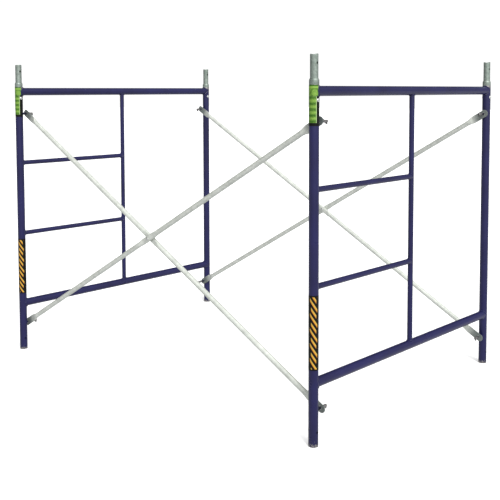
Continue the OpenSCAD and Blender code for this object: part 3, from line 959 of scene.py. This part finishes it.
# %% Coupling pins and collars
COUPLER_WALL = 2.6 * MM
NOTCH = 6 * MM
SEAT = 0.2 * MM
SEAT_LOW = LEG_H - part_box("left_near_coupling_pin")[0][2]
SEAT_HIGH = SEAT_LOW + COLLAR_H + 0.6 * MM


def coupler_grid(foot):
    """A tube whose two rims dip in a V, with a groove that the collar sits in."""
    inner = COUPLER_R - COUPLER_WALL
    corners = [(COUPLER_R, 0), (COUPLER_R, COUPLER_L), (inner, COUPLER_L), (inner, 0)]
    loop = rounded(corners, 0.6 * MM, 3, closed=True)
    step = 0.05 * MM
    groove = [(COUPLER_R, SEAT_LOW - step), (COUPLER_R - SEAT, SEAT_LOW + step),
              (COUPLER_R - SEAT, SEAT_HIGH - step), (COUPLER_R, SEAT_HIGH + step)]
    below = [(COUPLER_R, h) for h in along(NOTCH + 3 * MM, SEAT_LOW - 3 * MM, 12)]
    above = [(COUPLER_R, h) for h in along(SEAT_HIGH + 3 * MM, COUPLER_L - NOTCH - 3 * MM, 12)]
    outer = np.array(below + groove + above)
    profile = np.concatenate([loop[:4], outer, loop[4:]])

    def notched(a, r, h):
        """Pulls the ends in by the depth of the V at each angle, fading over 8 mm."""
        dip = NOTCH * (1 - np.abs(r * np.sin(a)) / COUPLER_R)
        top = smooth_step(h, COUPLER_L - NOTCH - 2 * MM, COUPLER_L - MM)
        bottom = 1 - smooth_step(h, MM, NOTCH + 2 * MM)
        return h - dip * top + dip * bottom

    return turned(profile, foot, Z, 72, notched)


def make_coupler(side, row):
    """One coupling pin with its two lock holes."""
    node = f"{side}_{row}_coupling_pin"
    low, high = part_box(node)
    foot = np.array([SIDE_X[side], ROW_Y[row], low[2]])
    grid = coupler_grid(foot)
    worn = 0.6 * wear_near(grid[..., 2], [low[2], high[2]], 0.012)
    pin = make_piece(f"{node}_tube", [(grid, worn, True, True)], PIN_ZINC, [node])
    heights = [LEG_H - HOLE_INSET, LEG_H + COLLAR_H + HOLE_INSET]
    return drill(pin, *[drill_rod((foot[0], foot[1], h), X, 3 * COUPLER_R, HOLE_R) for h in heights])


def make_collar(side, row):
    """A turned ring: straight wall, then a taper up to the pin."""
    node = f"{side}_{row}_collar"
    bore = COUPLER_R - SEAT + 0.02 * MM
    taper = [(LEG_R, COLLAR_H - 7 * MM), (COUPLER_R + MM, COLLAR_H)]
    corners = [(bore, 0), (LEG_R, 0), *taper, (bore, COLLAR_H)]
    foot = (SIDE_X[side], ROW_Y[row], LEG_H)
    grid = turned(rounded(corners, 1.2 * MM, 4, closed=True), foot, Z, 72)
    worn = 0.5 * wear_near(grid[..., 2], [LEG_H], 0.004)
    return make_piece(f"{node}_ring", [(grid, worn, True, True)], PIN_ZINC, [node])


COUPLERS = [make(*corner) for corner in CORNERS for make in (make_coupler, make_collar)]
report("coupling pins and collars", COUPLERS)


# %% [markdown]
# ## Printed films
#
# Printed films are wrapped on each near leg. A film could be a flat strip bent by a modifier. Here
# it is a thin closed shell laid out by the angle round the leg, so it lies on the tube exactly. The
# print is a generic pattern of stripes and bars without words. It uses the piece's own UV map, so
# it follows the surface.

# %% Films round a tube
FILM_T = 0.35 * MM


def film_grid(centre_xy, start, end, z_low, z_high, rows=40, columns=48):
    """The two faces of a film between two angles in degrees: their radii are the leg's plus
    almost nothing, and plus the film's thickness."""
    z = along(z_low, z_high, columns)[None, :]
    angle = np.radians(along(start, end, rows))[:, None] + 0 * z

    def face(r):
        x = centre_xy[0] + r * np.sin(angle)
        y = centre_xy[1] - r * np.cos(angle)
        return np.stack([x, y, np.broadcast_to(z, x.shape)], axis=-1)

    return face(LEG_R + FILM_T), face(LEG_R + 0.02 * MM)


def film_piece(name, faces, finish, nodes):
    """Joins the outer and inner faces of a film into one closed shell with a UV map."""
    edges = (np.s_[:, 0], np.s_[:, -1], np.s_[0], np.s_[-1])
    rims = [np.stack([face[edge] for face in faces], axis=1) for edge in edges]
    grids = [(grid, 0.0, False, False) for grid in (*faces, *rims)]
    return make_piece(name, grids, finish, nodes, uv=True)


# %% Print patterns
def film_material(name, paint):
    """A printed film: paint(tree, u, v) returns the colour socket, under clear gloss and dust."""
    material, tree, shader = start_material(name, Coat_Roughness=0.1, Specular_IOR_Level=0.15)
    across = split_xyz(tree, add(tree, "ShaderNodeUVMap", uv_map="UVMap").outputs["UV"])
    colour = paint(tree, across["X"], across["Y"])
    dust = place(tree, DUST, Amount=0.03, Scale=30.0)
    colour = mix(tree, dust["Mask"], colour, (0.3, 0.3, 0.27))
    scuff = place(tree, GRAIN, Scale=500.0)
    rough = plus(tree, times(tree, scuff["Tone"], 0.2), 0.3)
    feed(tree, shader, Base_Color=colour, Roughness=rough, Coat_Weight=times(tree, scuff["Tone"], 0.06))
    bump(tree, shader, scuff["Height"], 0.2, 0.1 * MM)
    return material


def inside(tree, value, low, high, soft):
    """1 between low and high, with soft edges."""
    rise, fall = ramp(tree, value, low - soft, low + soft), ramp(tree, value, high + soft, high - soft)
    return times(tree, rise, fall)


GREEN_LIGHT = (0.205, 0.365, 0.062)
GREEN_DARK = (0.035, 0.115, 0.008)
GREEN_PALE = (0.40, 0.52, 0.25)
FILM_BLACK = (0.0015, 0.002, 0.0015)


def strip_print(tree, u, v):
    """Green that swings five times between light and dark up the strip, with a pale line down its
    right edge and a black margin beyond that and below."""
    swing = math_node(tree, "SINE", times(tree, v, 10 * math.pi))
    fleck = noise(tree, object_point(tree), 260.0, 3.0)
    tone = plus(tree, times(tree, swing, 0.33), times(tree, fleck, 1.1))
    green = mix(tree, ramp(tree, tone, 0.2, 1.0), GREEN_DARK, GREEN_LIGHT)
    green = mix(tree, inside(tree, u, 0.655, 0.685, 0.006), green, GREEN_PALE)
    field = times(tree, ramp(tree, u, STRIP_SHARE + 0.006, STRIP_SHARE - 0.006), ramp(tree, v, 0.10, 0.11))
    return mix(tree, field, FILM_BLACK, green)


def head_print(tree, u, v):
    """A dark line at the top, a light band, and a disc under a dark arc: the arc lies where the
    distance from the disc's centre is between its radius and a third more."""
    x = times(tree, math_node(tree, "SUBTRACT", u, 0.74), HEAD_ASPECT)
    y = math_node(tree, "SUBTRACT", v, 0.30)
    square = plus(tree, times(tree, x, x), times(tree, y, y))
    away = math_node(tree, "SQRT", square)
    fleck = noise(tree, object_point(tree), 260.0, 3.0)
    green = mix(tree, ramp(tree, fleck, 0.25, 0.6), GREEN_DARK, GREEN_LIGHT)
    green = mix(tree, inside(tree, away, 0.34, 0.44, 0.08), green, GREEN_DARK)
    green = mix(tree, inside(tree, v, 0.70, 0.86, 0.02), green, GREEN_LIGHT)
    return mix(tree, ramp(tree, v, 0.87, 0.90), green, GREEN_DARK)


def gold_print(tree, u, v):
    """Slanting bars on black, orange at the foot and yellow at the top, every second one shorter."""
    slant = plus(tree, times(tree, v, 10.0), times(tree, u, 6.0))
    step = math_node(tree, "FRACT", slant)
    bars = inside(tree, step, 0.16, 0.60, 0.05)
    odd = math_node(tree, "GREATER_THAN", math_node(tree, "FRACT", times(tree, slant, 0.5)), 0.5)
    reach = math_node(tree, "SUBTRACT", 0.128, times(tree, odd, 0.04))
    off = math_node(tree, "ABSOLUTE", math_node(tree, "SUBTRACT", u, 0.612))
    bars = times(tree, bars, math_node(tree, "LESS_THAN", off, reach))
    bars = times(tree, bars, inside(tree, v, 0.02, 0.98, 0.003))
    gold = mix(tree, ramp(tree, step, 0.16, 0.60), (0.50, 0.17, 0.012), (0.56, 0.40, 0.07))
    return mix(tree, bars, FILM_BLACK, gold)


STRIP_HALF = 67.9
STRIP_END = 127.0
STRIP_SHARE = 2 * STRIP_HALF / (STRIP_HALF + STRIP_END)
HEAD_END = 88.0
HEAD_H = 46 * MM
HEAD_ASPECT = math.radians(STRIP_HALF + HEAD_END) * LEG_R / HEAD_H
STRIP_FILM = film_material("green printed strip", strip_print)
HEAD_FILM = film_material("green printed head", head_print)
GOLD_FILM = film_material("dark film with gold bars", gold_print)


# %% Films on the near legs
FILMS = []
for side in SIDES:
    spot = (SIDE_X[side], ROW_Y["near"])
    label, band = f"{side}_green_label", f"{side}_band_label"
    low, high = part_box(label)
    strip = film_grid(spot, -STRIP_HALF, STRIP_END, low[2], high[2] - HEAD_H - MM, 56)
    head = film_grid(spot, -STRIP_HALF, HEAD_END, high[2] - HEAD_H, high[2])
    FILMS.append(film_piece(f"{side}_green_strip_film", strip, STRIP_FILM, [label]))
    FILMS.append(film_piece(f"{side}_green_head_film", head, HEAD_FILM, []))
    low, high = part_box(band)
    wrap = film_grid(spot, -172, 172, low[2], high[2], 96, 60)
    FILMS.append(film_piece(f"{side}_band_film", wrap, GOLD_FILM, [band]))
report("films", FILMS)


# %% [markdown]
# ## Floor, light and camera
#
# A pale floor under a white sky gives a light studio. The sky is brighter towards +X and up, and a
# broad soft lamp on that side adds to it, so each round tube runs from a bright side to a dark one.
# An area light would fall off along the bars, and a sun lamp doesn't. The camera stands at the
# height of the top bar, off the corner of the right frame.

# %% Floor
def make_floor():
    """A wide floor that looks nearly white, but throws little light back up under the tubes."""
    half = 60.0
    grid = np.array([[(-half, -half, 0), (-half, half, 0)], [(half, -half, 0), (half, half, 0)]], float)
    mesh = bpy.data.meshes.new("floor")
    mesh.from_pydata(grid.reshape(-1, 3).tolist(), [], [[0, 2, 3, 1]])
    floor = add_object("floor", mesh)
    material, tree, shader = start_material("pale floor", Roughness=0.9, Specular_IOR_Level=0.05,
                                            Emission_Color=(1, 1, 1, 1), Emission_Strength=0.32)
    seen = add(tree, "ShaderNodeLightPath").outputs["Is Camera Ray"]
    feed(tree, shader, Base_Color=mix(tree, seen, (0.3, 0.3, 0.32), (0.95, 0.95, 0.95)))
    mesh.materials.append(material)
    return floor


FLOOR = make_floor()

# %% Sky
def make_sky():
    """White where the camera sees it. As light it is brightest towards +X and up, and darkest
    towards -X: its strength is the direction's dot product with that side, stretched."""
    world = bpy.data.worlds.new("white studio")
    bpy.context.scene.world = world
    world.use_nodes = True
    tree = world.node_tree
    sky = next(n for n in tree.nodes if n.type == "BACKGROUND")
    aim = add(tree, "ShaderNodeVectorMath", operation="DOT_PRODUCT")
    fill(tree, aim.inputs[0], add(tree, "ShaderNodeTexCoord").outputs["Generated"])
    fill(tree, aim.inputs[1], SKY_SIDE)
    lit = math_node(tree, "POWER", ramp(tree, aim.outputs["Value"], -0.7, 1.0), 2.0)
    level = plus(tree, times(tree, lit, SKY_HIGH - SKY_LOW), SKY_LOW)
    seen = add(tree, "ShaderNodeLightPath").outputs["Is Camera Ray"]
    grey = add(tree, "ShaderNodeMix", data_type="FLOAT", A=level, B=SKY_SEEN, Factor=seen)
    feed(tree, sky, Strength=grey.outputs[0])
    sky.inputs["Color"].default_value = (1, 1, 1, 1)


SKY_SIDE = (0.80, -0.40, 0.45)
SKY_HIGH = 1.65
SKY_LOW = 0.04
SKY_SEEN = 1.05
make_sky()


# %% Lamps
def sun(name, direction, angle, strength):
    """A sun lamp whose light comes from the given direction."""
    lamp = bpy.data.lights.new(name, "SUN")
    lamp.angle = math.radians(angle)
    lamp.energy = strength
    holder = add_object(name, lamp)
    u, v, w = axes_for(unit(np.asarray(direction, float)))
    holder.matrix_world = Matrix(np.column_stack([u, v, w]).tolist()).to_4x4()
    return holder


sun("key light", (0.70, -0.36, 0.62), 25.0, 2.5)

# %% Camera
EYE = (3.271, -3.622, 1.498)
YAW, PITCH, ROLL = map(math.radians, (-41.82, -3.86, -0.14))
LENS = 62.9
SHIFT_Y = -0.2
camera_data = bpy.data.cameras.new("camera")
camera_data.sensor_width, camera_data.lens, camera_data.shift_y = 36.0, LENS, SHIFT_Y
camera = add_object("camera", camera_data)
ahead = np.array([math.sin(YAW) * math.cos(PITCH), math.cos(YAW) * math.cos(PITCH), math.sin(PITCH)])
level_right = np.array([math.cos(YAW), -math.sin(YAW), 0.0])
level_up = np.cross(level_right, ahead)
right = level_right * math.cos(ROLL) + level_up * math.sin(ROLL)
up = np.cross(right, ahead)
pose = Matrix(np.column_stack([right, up, -ahead]).tolist()).to_4x4()
pose.translation = EYE
camera.matrix_world = pose
bpy.context.scene.camera = camera
bpy.context.scene.view_settings.view_transform = "Standard"
print("camera", EYE, "lens", LENS)
